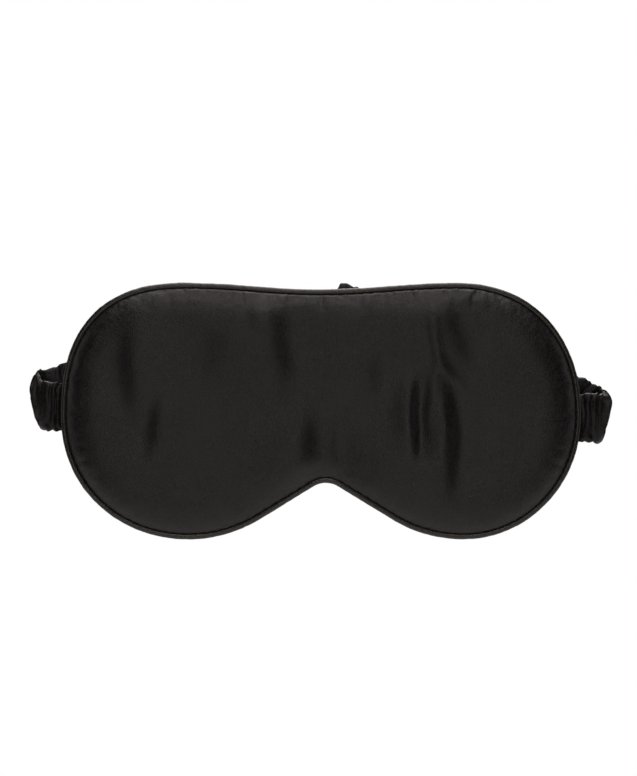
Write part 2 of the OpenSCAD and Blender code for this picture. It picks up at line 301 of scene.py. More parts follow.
def inflate(points, triangles, on_seam):
    """Where a flat panel's points go when the wadding fills it: a cloth simulation with its seam
    pinned, at ten times its size. Y is the height above the seam."""
    scale, frames = 10, 18
    depth, _ = seam_reading(points, PANEL_LINE)
    start = 3 * MM * (1 - np.exp(-depth / (8 * MM)))
    mesh = bpy.data.meshes.new("panel_cloth")
    places = np.c_[points[:, 0], -start, points[:, 1]] * scale
    mesh.from_pydata([tuple(p) for p in places], [], triangles)
    cloth = bpy.data.objects.new("panel_cloth", mesh)
    scene = bpy.context.scene
    scene.collection.objects.link(cloth)
    pinned = cloth.vertex_groups.new(name="seam")
    pinned.add([int(i) for i in np.where(on_seam)[0]], 1.0, "REPLACE")
    modifier = cloth.modifiers.new("inflate", "CLOTH")
    for name, value in (("vertex_group_mass", "seam"), ("use_pressure", True),
                        ("uniform_pressure_force", 4), ("shrink_min", -0.01), ("quality", 5),
                        ("mass", 0.3), ("bending_stiffness", 0.05)):
        setattr(modifier.settings, name, value)
    modifier.settings.effector_weights.gravity = 0
    modifier.point_cache.frame_start = 1
    modifier.point_cache.frame_end = frames
    scene.frame_start = 1
    scene.frame_end = frames
    for frame_number in range(1, frames + 1):
        scene.frame_set(frame_number)
    shown = cloth.evaluated_get(bpy.context.evaluated_depsgraph_get())
    moved = np.array([v.co for v in shown.to_mesh().vertices]) / scale
    shown.to_mesh_clear()
    bpy.data.objects.remove(cloth)
    scene.frame_set(1)
    return moved * [1, -1, 1]


def soft_cap(height, limit):
    """The wadding is a sheet of even thickness, so the crown flattens as it nears its limit."""
    return limit * np.tanh(height / limit)


def lines_height(x, z, lines):
    """Height change from folds. Each is a route of points, a half width and a height, in millimetres.
    A ridge stands up. A drop, whose height is negative, is a slope down to one side of the route that
    levels out slowly."""
    end_fade, levels_out = 0.45, 4
    p = np.c_[x, z] / MM
    total = np.zeros(len(p))
    for route, width, height in lines:
        route = np.array(route, float)
        lengths = np.linalg.norm(np.diff(route, axis=0), axis=1)
        before = np.r_[0, np.cumsum(lengths)]
        nearest = np.full(len(p), np.inf)
        share, side = np.zeros(len(p)), np.zeros(len(p))
        for a, b, length, start in zip(route, route[1:], lengths, before):
            way, from_a = b - a, p - a
            t = np.clip(from_a @ way / length ** 2, 0, 1)
            gap = np.linalg.norm(from_a - t[:, None] * way, axis=1)
            across = (way[0] * from_a[:, 1] - way[1] * from_a[:, 0]) / length
            share = np.where(gap < nearest, (start + t * length) / before[-1], share)
            side = np.where(gap < nearest, across, side)
            nearest = np.minimum(gap, nearest)
        fade = smooth(np.minimum(share, 1 - share) / end_fade)
        if height < 0:
            profile = np.tanh(side / width) * np.exp(-(nearest / (levels_out * width)) ** 2)
        else:
            profile = np.exp(-(nearest / width) ** 2)
        total += height * fade * profile
    return total * MM


def evened(height, triangles, fixed, rounds):
    """The wadding spreads small folds: each point moves towards its neighbours' mean."""
    t = np.array(triangles)
    ends = np.vstack([t[:, [0, 1]], t[:, [1, 2]], t[:, [2, 0]]])
    here, there = np.r_[ends[:, 0], ends[:, 1]], np.r_[ends[:, 1], ends[:, 0]]
    count = np.bincount(here, minlength=len(height))
    for _ in range(rounds):
        mean = np.bincount(here, weights=height[there], minlength=len(height)) / count
        height = np.where(fixed, height, (height + mean) / 2)
    return height


def window(x, low, high, soft):
    """One between two limits in millimetres, and fading to nothing outside them."""
    return smooth((x / MM - low) / soft) * smooth((high - x / MM) / soft)


def puckers(points, strength, seed):
    """Small folds that run in from the seam, where the stitches have drawn the cloth up."""
    depth, along = seam_reading(points, PANEL_LINE)
    lean = along + 0.3 * depth * noise_1d(along / (7 * MM), seed)
    fine = noise_1d(lean / (1.0 * MM), seed + 1)
    coarse = noise_1d(lean / (2.6 * MM), seed + 2)
    reach = (2.2 + 1.0 * noise_1d(along / (3 * MM), seed + 3)) * MM
    fade = np.exp(-(depth / reach) ** 1.5) * smooth(depth / (0.6 * MM))
    return strength * (0.5 + 0.34 * fine + 0.16 * coarse) * fade


def streaks(points, places, seed):
    """Long folds straight up from the lower seam, and down from the upper one. A place is its low and
    high X and Z in millimetres, and its depth."""
    depth, _ = seam_reading(points, PANEL_LINE)
    x, z = points[:, 0], points[:, 1]
    total = np.zeros(len(points))
    for number, (x0, x1, z0, z1, size) in enumerate(places):
        line = noise_1d(x / (1.25 * MM), seed + number)
        line = line + 0.6 * noise_1d(x / (3.1 * MM), seed + 20 + number)
        length = (7 + 5 * noise_1d(x / (2.6 * MM), seed + 40 + number)) * MM
        fold = size * MM * line * window(x, x0, x1, 6) * window(z, z0, z1, 3)
        total += fold * np.exp(-depth / length)
    return total * smooth(depth / (0.8 * MM))


def front_pucker_strength(x, z):
    """Puckers are close along the top, shallow on the lower outer edges, and faint elsewhere."""
    top = window(x, -62, 72, 10) * (z > 20 * MM)
    low = np.maximum(window(x, -64, -26, 10), window(x, 58, 88, 10)) * (z < -15 * MM)
    return (0.03 + 0.95 * top + 0.16 * low) * MM


# How much steeper than the inflated cloth the edge of the wadding stands, the height where its crown
# levels off, and how often its heights are evened out
FULLNESS = 2.8
CROWN_LIMIT = 5.4 * MM
EVENING_ROUNDS = 40

# Routes of X and Z, a half width and a height, all in millimetres
FRONT_FOLDS = [
    ([(39, 20), (37.8, 0), (38.8, -26)], 1.9, -1.7),
    ([(48, 26), (45.5, 10), (43.8, 0), (43.5, -18)], 2.2, 0.45),
    ([(49, 27), (51.5, 8), (53.5, -8), (52, -44)], 3.0, -1.6),
    ([(49, 52), (54, 33), (64, 12)], 4.8, -1.0),
    ([(44, 54), (46, 30), (48.5, 19), (56, 11), (67, 0)], 2.2, 0.55),
    ([(-75, -12), (-79.5, 20), (-77, 46)], 3.8, -1.0),
    ([(-71, -24), (-65, 12)], 2.8, -0.75),
    ([(-18, 58), (-16.5, 30), (-11, -2)], 5.2, -1.3),
    ([(-27, 28), (-28, 54)], 3.0, -0.35),
    ([(-5, 8), (-3, -50)], 4.6, -1.9),
    ([(5, 2), (7, -48)], 2.8, -0.9),
    ([(20, 30), (23, -2)], 4.2, -0.6),
    ([(39, -17), (50, -31)], 2.0, -0.14),
    ([(-48, 8), (-40, 38)], 5.5, -0.6),
    ([(-8, 6), (-30, -6)], 5.0, -0.20),
]
FRONT_STREAKS = [(-60, -30, -60, -26, 0.16), (62, 88, -60, -24, 0.18), (-9, 9, -40, -10, 0.10),
                 (-8, 34, 36, 60, 0.10)]
BACK_FOLDS = [
    ([(-22, 50), (-19, 24), (-23, 2)], 3.2, -0.6),
    ([(30, 48), (27, 16)], 2.8, -0.5),
    ([(4, 0), (2, -30)], 2.6, -0.4),
    ([(58, -34), (66, -8), (64, 16)], 2.8, -0.6),
    ([(-60, 32), (-66, 6), (-62, -20)], 3.0, -0.5),
    ([(-84, 14), (-80, -16)], 2.2, -0.3),
    ([(82, 28), (86, 2)], 2.4, 0.3),
]
BACK_STREAKS = [(-70, -34, -60, -24, 0.10), (34, 70, -60, -24, 0.10), (-30, 40, 34, 60, 0.08)]


def panel_heights(moved, triangles, on_seam, crown, folds, long_folds, pucker_strength, seed):
    """Height of a panel above its seam, from the inflated shape to its folds and puckers."""
    flat = moved[:, [0, 2]]
    x, z = flat[:, 0], flat[:, 1]
    height = soft_cap(FULLNESS * moved[:, 1], CROWN_LIMIT)
    height = evened(height, triangles, on_seam, EVENING_ROUNDS)
    height *= crown / height.max()
    depth, _ = seam_reading(flat, PANEL_LINE)
    inner = smooth(depth / (9 * MM))
    sway = 0.10 * noise_2d(x / (13 * MM), z / (22 * MM), seed)
    sway += 0.03 * noise_2d(x / (5 * MM), z / (9 * MM), seed + 1)
    height += (lines_height(x, z, folds) + sway * MM) * inner
    small = puckers(flat, pucker_strength(x, z), seed + 2)
    return np.maximum(height, 0) + small + np.where(on_seam, 0, streaks(flat, long_folds, seed + 60))


def open_edges(triangles):
    """The edges round the outside of a flat mesh, each in its triangle's direction."""
    directed = {(t[i], t[(i + 1) % 3]) for t in triangles for i in range(3)}
    return sorted(e for e in directed if (e[1], e[0]) not in directed)


def layer(name, flat, triangles, low, high, finish, slot):
    """A closed layer of cloth or wadding between two heights over a flat mesh."""
    n = len(flat)
    points = np.vstack([np.c_[flat[:, 0], y, flat[:, 1]] for y in (low, high)])
    rim = [(a, b, b + n, a + n) for a, b in open_edges(triangles)]
    faces = list(triangles) + [tuple(i + n for i in t[::-1]) for t in triangles] + rim
    return make_mesh(name, points, faces, finish, slot)


def lowest_nearby(fine, heights, coarse, count=14):
    """The least of the finer mesh's heights near each point, so that an inner layer stays inside."""
    tree = KDTree(len(fine))
    for i, p in enumerate(fine):
        tree.insert((p[0], p[1], 0), i)
    tree.balance()
    return np.array([min(heights[f[1]] for f in tree.find_n((p[0], p[1], 0), count))
                     for p in coarse])


# The spacing of a panel's points, and its rows along the seam
SATIN_MESH = (0.95 * MM, 9)
INNER_MESH = (2.2 * MM, 4)
WADDING_INSET = 3 * MM


def build_padding():
    """The two satin panels, the two liners and the wadding between them."""
    points, triangles, on_seam = panel_points(*SATIN_MESH, PANEL_INSET)
    moved = inflate(points, triangles, on_seam)
    flat = moved[:, [0, 2]]
    front_crown = SEAM_Y - SEAM_HALF - FRONT_Y
    back_crown = BACK_Y - SEAM_Y - SEAM_HALF
    front = panel_heights(moved, triangles, on_seam, front_crown, FRONT_FOLDS, FRONT_STREAKS,
                          front_pucker_strength, 11)
    back = panel_heights(moved, triangles, on_seam, back_crown, BACK_FOLDS, BACK_STREAKS,
                         lambda x, z: 0.20 * MM, 31)
    cloth_level = SEAM_HALF - PANEL_T

    face = layer("front_satin", flat, triangles, SEAM_Y - SEAM_HALF - front,
                 SEAM_Y - cloth_level - front, SATIN, "silk_satin")
    rear = layer("back_satin", flat, triangles, SEAM_Y + cloth_level + back,
                 SEAM_Y + SEAM_HALF + back, SATIN, "silk_satin")

    coarse, coarse_triangles, _ = panel_points(*INNER_MESH, PANEL_INSET)
    front_low = lowest_nearby(flat, front, coarse)
    back_low = lowest_nearby(flat, back, coarse)
    lining = layer("front_lining", coarse, coarse_triangles, SEAM_Y - cloth_level - front_low,
                   SEAM_Y - FILL_LEVEL - front_low, LINER, "liner_silk")
    backing = layer("back_lining", coarse, coarse_triangles, SEAM_Y + FILL_LEVEL + back_low,
                    SEAM_Y + cloth_level + back_low, LINER, "liner_silk")

    inner, inner_triangles, _ = panel_points(*INNER_MESH, PANEL_INSET + WADDING_INSET)
    wadding = layer("wadding", inner, inner_triangles,
                    SEAM_Y - FILL_LEVEL - lowest_nearby(coarse, front_low, inner, 6),
                    SEAM_Y + FILL_LEVEL + lowest_nearby(coarse, back_low, inner, 6),
                    WADDING, "wadding")

    for obj, node in ((face, "front_panel"), (rear, "back_panel"), (lining, "front_liner"),
                      (backing, "back_liner"), (wadding, "filling")):
        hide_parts(node)
        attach(obj, "mask")
    return flat, back


# ---------------------------------------------------------------- piping

def build_piping():
    """Bias-cut silk wrapped round the cord, open at the seam, with a lapped join in the top edge."""
    facets, lapped_join_x = 26, -55 * MM
    along = np.arange(len(FINE)) * FINE_STEP
    flat_angle = math.asin(SEAM_HALF / PIPE_R)
    angles = math.pi - flat_angle - (2 * math.pi - 2 * flat_angle) * np.linspace(0, 1, facets)
    centre = FINE - FINE_OUT * PIPE_R
    total = along[-1] + FINE_STEP

    join_at = np.argmin(np.hypot(FINE[:, 0] - lapped_join_x, FINE[:, 1] - MASK_H / 2)) * FINE_STEP
    from_join = (along - join_at + total / 2) % total - total / 2
    lap = 0.16 * MM * smooth((from_join + 4 * MM) / (0.9 * MM))
    lap = lap * smooth((3.5 * MM - from_join) / (2.5 * MM))

    def ring_points(a, radius, rough):
        """One point of the round part for each point of the outline, with bias wrinkles."""
        spiral = along / (2.1 * MM) + a * 0.55
        wrinkle = 0.045 * noise_1d(spiral, 61) + 0.03 * noise_1d(along / (0.9 * MM) + a * 1.3, 62)
        wrinkle += 0.05 * noise_1d(along / (9 * MM), 63)
        r = radius + rough * (wrinkle * MM + lap * max(0.0, math.cos(a - math.pi / 4)))
        return np.c_[centre[:, 0] + FINE_OUT[:, 0] * r * math.cos(a), SEAM_Y + r * math.sin(a),
                     centre[:, 1] + FINE_OUT[:, 1] * r * math.cos(a)]

    def slit_points(y):
        """One point of the open seam for each point of the outline."""
        return np.c_[PANEL_LINE[:, 0], np.full(len(FINE), SEAM_Y + y), PANEL_LINE[:, 1]]

    bore = PIPE_R - PIPE_WALL
    held = [min(1.0, 4 * k / facets, 4 * (facets - 1 - k) / facets) for k in range(facets)]
    section = [ring_points(a, PIPE_R, h) for a, h in zip(angles, held)]
    section += [slit_points(-FILL_LEVEL)]
    section += [ring_points(a, bore, 0) for a in angles[::-1]]
    section += [slit_points(FILL_LEVEL)]
    points = np.stack(section, axis=1).reshape(-1, 3)
    faces = grid_faces(len(FINE), len(section), wrap_rows=True)
    cover = make_mesh("piping_silk_cover", points, faces, PIPING, "piping_silk")
    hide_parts("piping_cover")
    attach(cover, "mask")


# ---------------------------------------------------------------- strap

def folded(side, along, across, out):
    """Place of a strap point: along from the fold's axis, across upwards, out from its middle."""
    t = CLIMB[side] / 2
    a = along * math.sin(t) + across * math.cos(t)
    b = along * math.cos(t) - across * math.sin(t)
    turn = np.clip(b / (math.pi * LOOP_R), 0, 1) * math.pi
    reach = np.minimum(b, 0) + (LOOP_R + out) * np.sin(turn) - np.maximum(b - math.pi * LOOP_R, 0)
    return np.stack([side * (FOLD_X + a * math.sin(t) + reach * math.cos(t)),
                     NEAR_Y + LOOP_R - (LOOP_R + out) * np.cos(turn),
                     END_Z[side] + a * math.cos(t) - reach * math.sin(t)], axis=-1)


def exit_along(side):
    """How far along the fold its last ring lies."""
    t = CLIMB[side] / 2
    return (math.pi * LOOP_R + STRAP_W / 2 * math.sin(t)) / math.cos(t)


def run_point(side, x, across, out):
    """Place of a strap point on the rear run, which climbs from the fold to the peak on a cubic."""
    start = folded(side, exit_along(side), 0.0, 0.0)
    span = PEAK_X - start[0]
    u = (x - start[0]) / span
    slope = math.tan(CLIMB[side]) * abs(span)
    z = start[2] + (PEAK_Z - start[2]) * u * u * (3 - 2 * u) + slope * u * (1 - u) ** 2
    rise = (PEAK_Z - start[2]) * 6 * u * (1 - u) + slope * (1 - u) * (1 - 3 * u)
    angle = np.arctan(rise / span)
    return np.stack([x - across * np.sin(angle), FAR_Y + out, z + across * np.cos(angle)], axis=-1)


STRAP_STEP = 0.42 * MM
STRAP_SIDES = 44


def strap_section(width, thickness):
    """A flat oval, with its outward directions: across the strap, and out of it."""
    square_across, square_out = 0.62, 0.75
    a = np.linspace(0, 2 * math.pi, STRAP_SIDES, endpoint=False)
    across = width / 2 * np.sign(np.cos(a)) * np.abs(np.cos(a)) ** square_across
    out = thickness / 2 * np.sign(np.sin(a)) * np.abs(np.sin(a)) ** square_out
    da = np.roll(across, -1) - np.roll(across, 1)
    do = np.roll(out, -1) - np.roll(out, 1)
    size = np.hypot(da, do)
    return a, across, out, do / size, -da / size


def gathers(distance, angle, seed):
    """How far the gathered cloth stands off the tube's surface: rounded folds with sharp valleys."""
    cross, face = np.cos(angle), np.sin(angle)
    warp = noise_2d(distance / (5.5 * MM), 1.7 * cross + 20, seed)
    warp += 0.9 * noise_2d(distance / (4.5 * MM), 1.5 * face + 40, seed + 1)
    main = np.abs(np.cos(math.pi * (distance / (4.7 * MM) + 0.75 * warp)))
    small = np.abs(np.cos(math.pi * (distance / (1.6 * MM) + 0.9 * warp + 0.8 * cross)))
    size = 0.62 + 0.38 * noise_2d(distance / (3.2 * MM), 2 * cross + 60, seed + 2)
    soft = 0.75 + 0.25 * np.abs(cross)
    return (0.32 - 0.95 * size * (1 - main) - 0.06 * (1 - small)) * soft * MM


def edge_scallops(distance, angle, upper, lower, seed):
    """How far the strap's two edges stand in, fold by fold: more along the upper edge."""
    cross = np.cos(angle)
    bump = 0.5 + 0.5 * noise_1d(distance / (1.25 * MM), seed)
    depth = np.where(cross > 0, upper, lower) * np.abs(cross) ** 6
    return -depth * bump * np.sign(cross)


# How much further the gathered edges fan out round the fold, and how far they fall in there:
# the upper one and the lower one
FAN = {-1: (2.6 * MM, 0.0), 1: (-0.4 * MM, 2.2 * MM)}
FALL = {-1: (3.0 * MM, 0.3 * MM), 1: (1.8 * MM, 0.4 * MM)}
GATHER_SEED = 200
SCALLOP_SEED = 77


def gathered_section(side, kind, where, distance, flatten, angle, section):
    """A section of the cloth tube with its gathers, its fan at the fold and the bunch at the peak."""
    across, out, dir_across, dir_out = section
    cross = np.cos(angle)
    key = np.full(STRAP_SIDES, distance * side + 0.5)
    fall = gathers(key, angle, GATHER_SEED) * (0.5 + 0.5 * flatten)
    across = across + dir_across * fall + edge_scallops(key, angle, 0.9 * MM, 0.35 * MM, SCALLOP_SEED)
    out = out + dir_out * fall
    turned = math.exp(-((distance - math.pi * LOOP_R * 0.72) / (9.0 * MM)) ** 4)
    upper, lower = FAN[side]
    across = across + turned * np.where(cross > 0, upper, -lower) * np.abs(cross) ** 2
    upper, lower = FALL[side]
    puff = 0.5 * MM * np.sin(angle)
    out = out + turned * (puff - np.where(cross > 0, upper, lower) * np.abs(cross) ** 2)
    if kind == "run":
        bunch = 2.9 * MM * math.exp(-((where - PEAK_X) / (2.6 * MM)) ** 4)
        bunch += 1.2 * MM * math.exp(-((where - PEAK_X - 3.8 * MM) / (1.6 * MM)) ** 2)
        across = across + bunch * np.clip(cross, 0, 1) ** 3
    return across, out


def strap_rings(side, places, width, thickness, gathered):
    """Rings of points along the strap. A place is ("fold", along) or ("run", x)."""
    angle, across, out, dir_across, dir_out = strap_section(width, thickness)
    rings = []
    leave = exit_along(side)
    start_x = folded(side, leave, 0.0, 0.0)[0]
    for kind, where in places:
        distance = where if kind == "fold" else leave + abs(where - start_x)
        if kind == "run" and (where - PEAK_X) * side < 0:
            distance = leave + abs(PEAK_X - start_x) + abs(where - PEAK_X)
        flatten, shift = 1.0, 0.0
        if kind == "fold" and where < SPLIT_ALONG:
            left = (SPLIT_ALONG - where) / (SPLIT_ALONG - (END_X - FOLD_X))
            flatten = 1 - 0.45 * left
            shift = -0.9 * MM * smooth(left)
        a, o = across, out * flatten
        if gathered:
            a, o = gathered_section(side, kind, where, distance, flatten, angle,
                                    (a, o, dir_across, dir_out))
        place = folded if kind == "fold" else run_point
        rings.append(place(side, np.full(STRAP_SIDES, where), a, o + shift))
    return np.array(rings)


def strap_piece(name, rings, inner, finish, slot):
    """A hollow tube of gathered cloth, closed between its two walls at each end."""
    rows, sides = rings.shape[:2]
    points = np.vstack([rings.reshape(-1, 3), inner.reshape(-1, 3)])
    first = rows * sides
    faces = grid_faces(rows, sides) + grid_faces(rows, sides, first=first)
    for row in (0, rows - 1):
        start = row * sides
        for c in range(sides):
            here, there = start + c, start + (c + 1) % sides
            faces.append((here, there, first + there, first + here))
    return make_mesh(name, points, faces, finish, slot)


def solid_strip(name, rings, finish, slot):
    """A solid strip from its rings, closed at both ends."""
    rows, sides = rings.shape[:2]
    last = (rows - 1) * sides
    faces = grid_faces(rows, sides) + [tuple(range(sides))[::-1], tuple(range(last, last + sides))]
    return make_mesh(name, rings.reshape(-1, 3), faces, finish, slot)


def spaced(low, high):
    """Ring places between two limits, both counted in."""
    return np.linspace(low, high, max(2, int(round(abs(high - low) / STRAP_STEP)) + 1))


def strap_places(side):
    """The places of the rings of the end piece and of the side piece."""
    leave = exit_along(side)
    start_x = folded(side, leave, 0.0, 0.0)[0]
    end = [("fold", a) for a in spaced(END_X - FOLD_X, SPLIT_ALONG)]
    turn = [("fold", a) for a in spaced(SPLIT_ALONG, leave)]
    run = [("run", x) for x in spaced(start_x, PEAK_X + side * BACK_L / 2)[1:]]
    return end, turn + run


def cloth_walls(side, places):
    """The outer and inner wall of the gathered tube."""
    outer = strap_rings(side, places, STRAP_W, STRAP_T, True)
    middle = outer.mean(axis=1, keepdims=True)
    inward = middle - outer
    inward /= np.linalg.norm(inward, axis=2, keepdims=True)
    cloth_thickness = 0.2
    return outer, outer + inward * cloth_thickness * MM


def elastic_rings(side, places):
    """The elastic lies in the middle of the tube, a little thinner than its slot."""
    return strap_rings(side, places, ELASTIC_W, ELASTIC_T * 0.9, False)


def strap_stretch(part, side, places):
    """One stretch of the cloth tube and of its elastic."""
    word = f"{part}_{SIDE_NAME[side]}"
    cloth = strap_piece(f"strap_cloth_{word}", *cloth_walls(side, places), STRAP, "strap_silk")
    core = solid_strip(f"elastic_core_{word}", elastic_rings(side, places), ELASTIC, "elastic_web")
    for obj, node in ((cloth, f"strap_{word}"), (core, f"elastic_{word}")):
        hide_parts(node)
        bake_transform(obj)
    return cloth


def build_strap():
    """The two ends, the two side runs round the folds, and the back of the strap."""
    for side in (-1, 1):
        end, sides = strap_places(side)
        stub = strap_stretch("end", side, end)
        arm = strap_stretch("side", side, sides)

    half = BACK_L / 2
    left = [("run", x) for x in spaced(PEAK_X - half, PEAK_X)]
    right = [("run", x) for x in spaced(PEAK_X, PEAK_X + half)[1:]]
    walls = [np.concatenate(w) for w in zip(cloth_walls(-1, left), cloth_walls(1, right))]
    rear = strap_piece("strap_cloth_back", *walls, STRAP, "strap_silk")
    core = np.concatenate([elastic_rings(-1, left), elastic_rings(1, right)])
    rear_elastic = solid_strip("elastic_core_back", core, ELASTIC, "elastic_web")
    for obj, node in ((rear, "strap_back"), (rear_elastic, "elastic_back")):
        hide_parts(node)
        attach(obj, "strap_rear")


# ---------------------------------------------------------------- stitches

def build_closing_stitches(flat, back):
    """Slip stitches that close the turning gap, in the ditch between back panel and piping."""
    low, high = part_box("closing_stitching")
    inside = [i for i, p in enumerate(PANEL_LINE)
              if low.x <= p[0] <= high.x and low.z <= p[1] <= high.z]
    parts = []
    pitch, slant_seed = 6, 91
    share = np.linspace(0, 1, 9)
    for number, first in enumerate(range(min(inside), max(inside) - 2, pitch)):
        slant = 2 + int(noise_1d(np.array([number + 0.5]), slant_seed)[0] > 0)
        line = []
        for t in share:
            i = first + t * slant
            a, f = int(i), i - int(i)
            edge = FINE[a] * (1 - f) + FINE[a + 1] * f
            way = FINE_OUT[a] * (1 - f) + FINE_OUT[a + 1] * f
            inset = PANEL_INSET + (t - 0.5) * 1.5 * MM
            p = edge - way * inset
            if inset < PANEL_INSET:
                y = math.sqrt(max(PIPE_R ** 2 - (inset - PIPE_R) ** 2, 0))
            else:
                y = SEAM_HALF + back[np.argmin(np.hypot(*(flat - p).T))]
            line.append([p[0], SEAM_Y + y + 0.12 * MM * math.sin(math.pi * t), p[1]])
        parts.append(tube(line, THREAD_R * 0.8, 8, 0.12))
    stitches = make_mesh("closing_stitches", *join(parts), THREAD, "thread")
    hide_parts("closing_stitching")
    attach(stitches, "mask")


def build_tack(side):
    """A bar tack: close zigzag stitches across the strap's inner end, over the side seam."""
    word = SIDE_NAME[side]
    count = 30
    line = []
    for k in range(count * 4 + 1):
        sway = abs((k / 4) % 2 - 1) * 2 - 1
        height = (k / (4 * count) - 0.5) * ELASTIC_W
        line.append([side * (END_X + 1.05 * MM + sway * 0.65 * MM),
                     NEAR_Y - 0.35 * MM + 0.16 * MM * sway, END_Z[side] + height])
    tack = make_mesh(f"bar_tack_{word}", *tube(line, THREAD_R, 7, 0.1), THREAD, "thread")
    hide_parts(f"strap_tack_{word}")
    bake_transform(tack)


# ---------------------------------------------------------------- materials

class Finish:
    """A procedural material, made of layers that read the object's own coordinates."""

    def __init__(self, name, roughness, **constants):
        self.material = bpy.data.materials.new(name)
        self.material.use_nodes = True
        self.tree = self.material.node_tree
        self.shader = self.tree.nodes["Principled BSDF"]
        self.place = self.add("ShaderNodeTexCoord").outputs["Object"]
        self.shader.inputs["Roughness"].default_value = roughness
        for socket, value in constants.items():
            self.shader.inputs[socket.replace("_", " ")].default_value = value

    def add(self, kind, **settings):
        node = self.tree.nodes.new(kind)
        for key, value in settings.items():
            setattr(node, key, value)
        return node

    def link(self, source, socket):
        """Links a socket, or sets it if the source is a number."""
        if isinstance(source, (int, float)):
            socket.default_value = source
        else:
            self.tree.links.new(source, socket)

    def mapped(self, turn=0.0, stretch=(1, 1, 1)):
        """Coordinates turned about Y and then stretched."""
        turned = self.add("ShaderNodeMapping")
        turned.inputs["Rotation"].default_value = (0, turn, 0)
        turned.inputs["Scale"].default_value = stretch
        self.link(self.place, turned.inputs["Vector"])
        return turned.outputs["Vector"]

    def noise(self, size, detail=2.0, turn=0.0, stretch=(1, 1, 1)):
        """Soft noise from 0 to 1, whose patches are about that size in metres."""
        node = self.add("ShaderNodeTexNoise")
        node.inputs["Scale"].default_value = 1 / size
        node.inputs["Detail"].default_value = detail
        self.link(self.mapped(turn, stretch), node.inputs["Vector"])
        return node.outputs["Fac"]

    def ribs(self, pitch, axis, turn=0.0, distortion=0.0):
        """Even ribs from 0 to 1, one for each pitch along the axis."""
        waves_per_unit = 20 / (2 * math.pi)
        node = self.add("ShaderNodeTexWave", wave_type="BANDS", bands_direction=axis)
        node.inputs["Scale"].default_value = 1 / (pitch * waves_per_unit)
        node.inputs["Distortion"].default_value = distortion
        self.link(self.mapped(turn), node.inputs["Vector"])
        return node.outputs["Fac"]

    def math(self, operation, a, b):
        node = self.add("ShaderNodeMath", operation=operation)
        self.link(a, node.inputs[0])
        self.link(b, node.inputs[1])
        return node.outputs[0]

    def between(self, value, low, high, soft=0.2):
        """Noise taken to a range, which it reaches at half plus or minus the softness."""
        node = self.add("ShaderNodeMapRange")
        self.link(value, node.inputs["Value"])
        node.inputs["From Min"].default_value = 0.5 - soft
        node.inputs["From Max"].default_value = 0.5 + soft
        node.inputs["To Min"].default_value = low
        node.inputs["To Max"].default_value = high
        return node.outputs["Result"]

    def colour(self, factor, dark, light):
        """A mix of two colours, each a tuple or another node's output."""
        node = self.add("ShaderNodeMix", data_type="RGBA")
        self.link(factor, node.inputs["Factor"])
        for socket, value in (("A", dark), ("B", light)):
            found = [s for s in node.inputs if s.name == socket and s.type == "RGBA"][0]
            if isinstance(value, tuple):
                found.default_value = (*value, 1)
            else:
                self.link(value, found)
        return [s for s in node.outputs if s.type == "RGBA"][0]

    def done(self, colour, height, depth, roughness=None):
        """Sets the colour, the bump of that depth in metres, and a roughness that varies."""
        self.link(colour, self.shader.inputs["Base Color"])
        bump = self.add("ShaderNodeBump")
        bump.inputs["Distance"].default_value = depth
        self.link(height, bump.inputs["Height"])
        self.link(bump.outputs["Normal"], self.shader.inputs["Normal"])
        if roughness is not None:
            self.link(roughness, self.shader.inputs["Roughness"])
        return self.material


def satin(name, dark, light, tint, rough, specular, gloss, turn=0.0, tooth=8.0, sheen=0.01):
    """Silk satin: long warp floats along Z with fine weft between them, slubs and a soft mottle."""
    f = Finish(name, rough, Specular_IOR_Level=specular, Specular_Tint=(*gloss, 1),
               Sheen_Weight=sheen, Sheen_Roughness=0.4, Sheen_Tint=(1.0, 0.80, 0.72, 1))
    warp = f.ribs(0.16 * MM, "X", turn, 0.6)
    weft = f.ribs(0.23 * MM, "Z", turn, 0.9)
    floats = f.noise(0.30 * MM, 2.0, turn, (1.8, 1.8, 0.45))
    slub = f.noise(1.1 * MM, 3.0, turn, (1.6, 1.6, 0.35))
    grain = f.noise(0.50 * MM, 1.0)
    mottle = f.noise(1.5 * MM, 2.0)
    cloud = f.noise(14 * MM, 2.0)
    weave = f.math("MULTIPLY", f.math("ADD", warp, f.math("MULTIPLY", weft, 0.5)), 0.45)
    height = f.math("ADD", weave, f.math("ADD", floats, f.math("MULTIPLY", slub, 0.8)))
    height = f.math("ADD", height, f.math("MULTIPLY", grain, tooth))
    value = f.math("ADD", f.math("MULTIPLY", grain, 0.7), f.math("MULTIPLY", cloud, 0.3))
    base = f.colour(f.between(value, 0.0, 1.0, 0.10), dark, light)
    base = f.colour(f.between(f.noise(0.8 * MM, 1.0, 0.8), 0.0, 0.8, 0.12), base, tint)
    sparkle = f.math("ADD", f.math("MULTIPLY", grain, 0.55), f.math("MULTIPLY", mottle, 0.30))
    sparkle = f.math("ADD", sparkle, f.math("MULTIPLY", slub, 0.15))
    return f.done(base, height, 0.012 * MM, f.between(sparkle, rough - 0.10, rough + 0.10, 0.16))


def plain_silk(name):
    """Plain-woven lining."""
    f = Finish(name, 0.6, Specular_IOR_Level=0.3)
    weave = f.math("MULTIPLY", f.ribs(0.22 * MM, "X"), f.ribs(0.22 * MM, "Z"))
    base = f.colour(f.noise(1.5 * MM), (0.028, 0.026, 0.025), (0.05, 0.047, 0.044))
    return f.done(base, weave, 0.05 * MM)


def fibre_wadding(name):
    """Soft needled fibre, matted in every direction."""
    f = Finish(name, 0.95, Specular_IOR_Level=0.15, Sheen_Weight=0.3)
    mat = f.math("ADD", f.noise(0.6 * MM, 6.0, 0.6, (4, 1, 0.6)),
                 f.noise(0.6 * MM, 6.0, -0.7, (0.6, 1, 4)))
    base = f.colour(f.noise(6 * MM, 4.0), (0.60, 0.57, 0.51), (0.76, 0.73, 0.67))
    return f.done(base, mat, 0.4 * MM)


